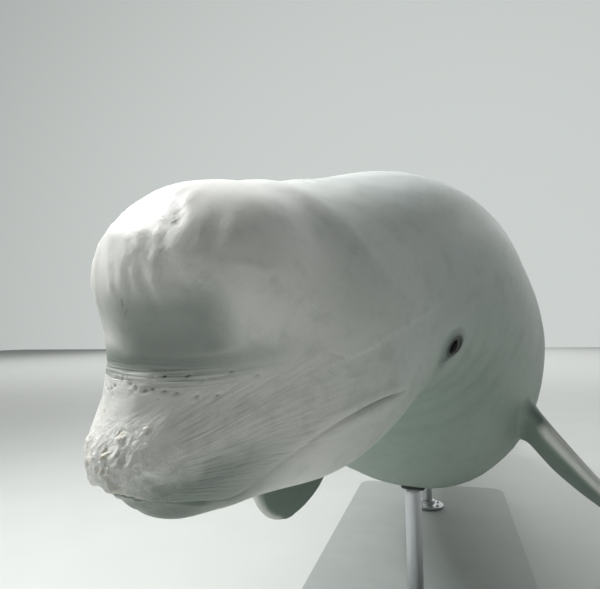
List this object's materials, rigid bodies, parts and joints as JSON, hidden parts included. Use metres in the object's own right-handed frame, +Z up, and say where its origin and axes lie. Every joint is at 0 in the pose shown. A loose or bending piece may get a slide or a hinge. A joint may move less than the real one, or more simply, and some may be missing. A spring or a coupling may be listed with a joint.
{
  "type": "beluga whale display model",
  "caption": "Life-size white whale with bulging forehead, broad paddle flippers and flukes, on a flat base with rods; still.",
  "frame": {"origin": "middle of the stand base's underside", "axes": "-X towards the whale's head, -Y towards its left side, +Z up"},
  "size_m": [3.692, 0.9411, 1.0852],
  "materials": {
    "skin": "smooth wet-looking white skin with fine wrinkles, pits and pale tan scars",
    "fin_skin": "pale grey skin, darker along the rims",
    "eye": "glossy, nearly black",
    "base": "plain matte pale grey display base",
    "rod": "brushed steel"
  },
  "bodies": {
    "root": {"head": "skin", "melon": "skin", "lower_jaw": "skin", "neck": "skin", "chest": "skin", "abdomen": "skin", "tail_stock": "skin", "eye_left": "eye", "eye_right": "eye", "flipper_left": "fin_skin", "flipper_right": "fin_skin", "fluke_left": "fin_skin", "fluke_right": "fin_skin", "dorsal_ridge": "fin_skin", "stand_base": "base", "stand_rod_front": "rod", "stand_flange_front": "rod", "stand_rod_rear": "rod", "stand_flange_rear": "rod"}
  },
  "joints": []
}
